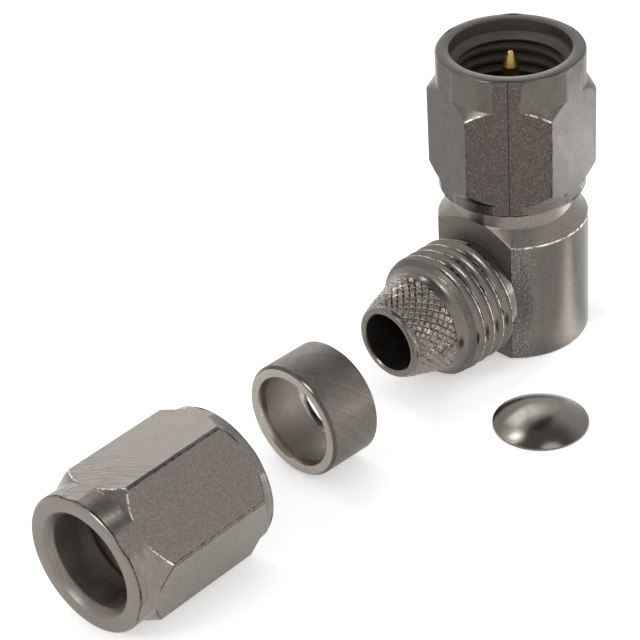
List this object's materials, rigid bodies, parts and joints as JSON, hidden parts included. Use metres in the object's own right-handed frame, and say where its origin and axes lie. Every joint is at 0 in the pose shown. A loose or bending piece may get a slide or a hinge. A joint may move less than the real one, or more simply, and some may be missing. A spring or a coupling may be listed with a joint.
{
  "type": "sma connector",
  "caption": "Right-angle coaxial plug kit: elbow with a turning hexagon coupling nut and centre pin, clamp ring, long clamp nut and domed access cap.",
  "frame": {"origin": "on the plug's axis in the mating reference plane, where the sleeve and the insulator end and the pin comes out", "axes": "+Z along the plug's axis in the mating direction, -X along the cable port; the elbow stands on its base with the mouth up and the loose pieces lie on the same floor"},
  "size_m": [0.0388, 0.0148, 0.0175],
  "materials": {
    "nickel": "satin nickel plating",
    "bright_nickel": "polished nickel plating",
    "spring_metal": "bare spring bronze",
    "silicone": "matt rubber",
    "insulator": "matt white fluoroplastic",
    "gold": "gold plating"
  },
  "bodies": {
    "plug_and_kit": {"elbow_body": "nickel", "retaining_ring": "spring_metal", "face_gasket": "silicone", "front_insulator": "insulator", "rear_insulator": "insulator", "centre_contact": "gold", "cable_bushing": "nickel", "clamp_ring": "nickel", "clamp_nut": "nickel", "access_cap": "bright_nickel"},
    "coupling_nut": {"coupling_nut": "nickel"}
  },
  "joints": [
    {"name": "coupling_nut_turn", "type": "hinge", "parent": "plug_and_kit", "child": "coupling_nut", "pos_m": [0, 0, 0], "axis": [0, 0, 1], "continuous": true}
  ]
}
